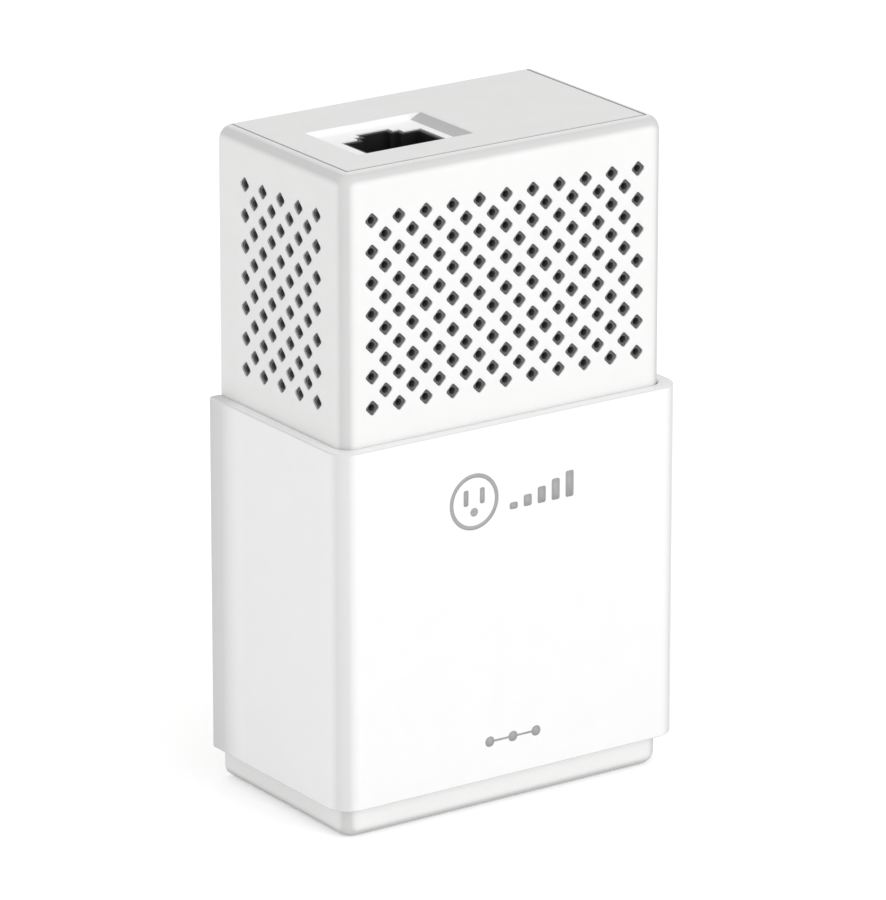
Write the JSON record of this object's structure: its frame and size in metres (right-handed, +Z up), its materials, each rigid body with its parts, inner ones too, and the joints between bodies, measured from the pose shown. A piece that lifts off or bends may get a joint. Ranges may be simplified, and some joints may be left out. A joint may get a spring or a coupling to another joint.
{
  "type": "powerline adapter",
  "caption": "Plug-in powerline network adapter: vented white shell with a glossy sleeve, a top network port, a side button and a three-pin mains plug.",
  "frame": {"origin": "midway between the two flat blades, in the plane of the back face", "axes": "+X to the right as seen from the front, +Y into the wall along the blades, +Z up along the body"},
  "size_m": [0.0572, 0.0528, 0.095],
  "materials": {
    "matte_white": "fine-textured moulded ABS",
    "gloss_white": "high gloss moulded ABS",
    "dark_plastic": "moulded, dark grey",
    "black_plastic": "moulded, black",
    "clear_plastic": "clear moulded light guide",
    "label_film": "silver grey film",
    "zinc_steel": "zinc plated",
    "nickel_brass": "nickel plated brass",
    "tin_plate": "tinned sheet",
    "gold_contact": "gold flash",
    "circuit_board": "green solder mask on glass fibre",
    "chip_black": "moulded epoxy",
    "thermal_rubber": "soft grey silicone",
    "sink_aluminium": "extruded",
    "led_resin": "clear resin",
    "ferrite": "fired ferrite",
    "winding_tape": "yellow polyester tape",
    "can_sleeve": "dark blue shrink sleeve",
    "film_box": "yellow potted box",
    "enamel_copper": "enamelled copper",
    "core_coating": "green epoxy coating",
    "fuse_brown": "brown moulded case",
    "varistor_blue": "blue dipped coating",
    "fish_paper": "pressed insulating paper",
    "grey_rubber": "switch plunger"
  },
  "bodies": {
    "adapter": {"front_housing": "matte_white", "rear_housing": "matte_white", "outer_sleeve": "gloss_white", "vent_screen": "dark_plastic", "light_pipe": "clear_plastic", "rating_label": "label_film", "housing_screws": "zinc_steel", "live_blade": "nickel_brass", "neutral_blade": "nickel_brass", "earth_pin": "nickel_brass", "blade_carrier": "dark_plastic", "power_board": "circuit_board", "main_board": "circuit_board", "board_screws": "zinc_steel", "link_strip": "black_plastic", "link_pins": "gold_contact", "jack_body": "black_plastic", "jack_shield": "tin_plate", "jack_contacts": "gold_contact", "modem_chip": "chip_black", "thermal_pad": "thermal_rubber", "heat_sink": "sink_aluminium", "phy_chip": "chip_black", "memory_chip": "chip_black", "lan_transformer": "chip_black", "crystal": "tin_plate", "status_leds": "led_resin", "switch_body": "black_plastic", "transformer_core": "ferrite", "transformer_bobbin": "winding_tape", "bulk_capacitors": "can_sleeve", "output_capacitor": "can_sleeve", "mains_capacitor": "film_box", "choke_core": "core_coating", "choke_windings": "enamel_copper", "fuse": "fuse_brown", "varistor": "varistor_blue", "bridge_rectifier": "chip_black", "switcher_chip": "chip_black", "coupling_transformer": "ferrite", "optocoupler": "chip_black", "insulation_sheet": "fish_paper"},
    "button": {"pair_button": "matte_white"},
    "plunger": {"switch_plunger": "grey_rubber"}
  },
  "joints": [
    {"name": "pair_button_press", "type": "slide", "parent": "adapter", "child": "button", "axis": [-1, 0, 0], "range_m": [0, 0.0003], "stiffness_N_per_m": 5000, "springref_m": -0.0002},
    {"name": "switch_plunger_press", "type": "slide", "parent": "adapter", "child": "plunger", "axis": [-1, 0, 0], "range_m": [0, 0.0003]}
  ],
  "couplings": [
    {"joint": "switch_plunger_press", "follows": "pair_button_press", "ratio": 1}
  ]
}
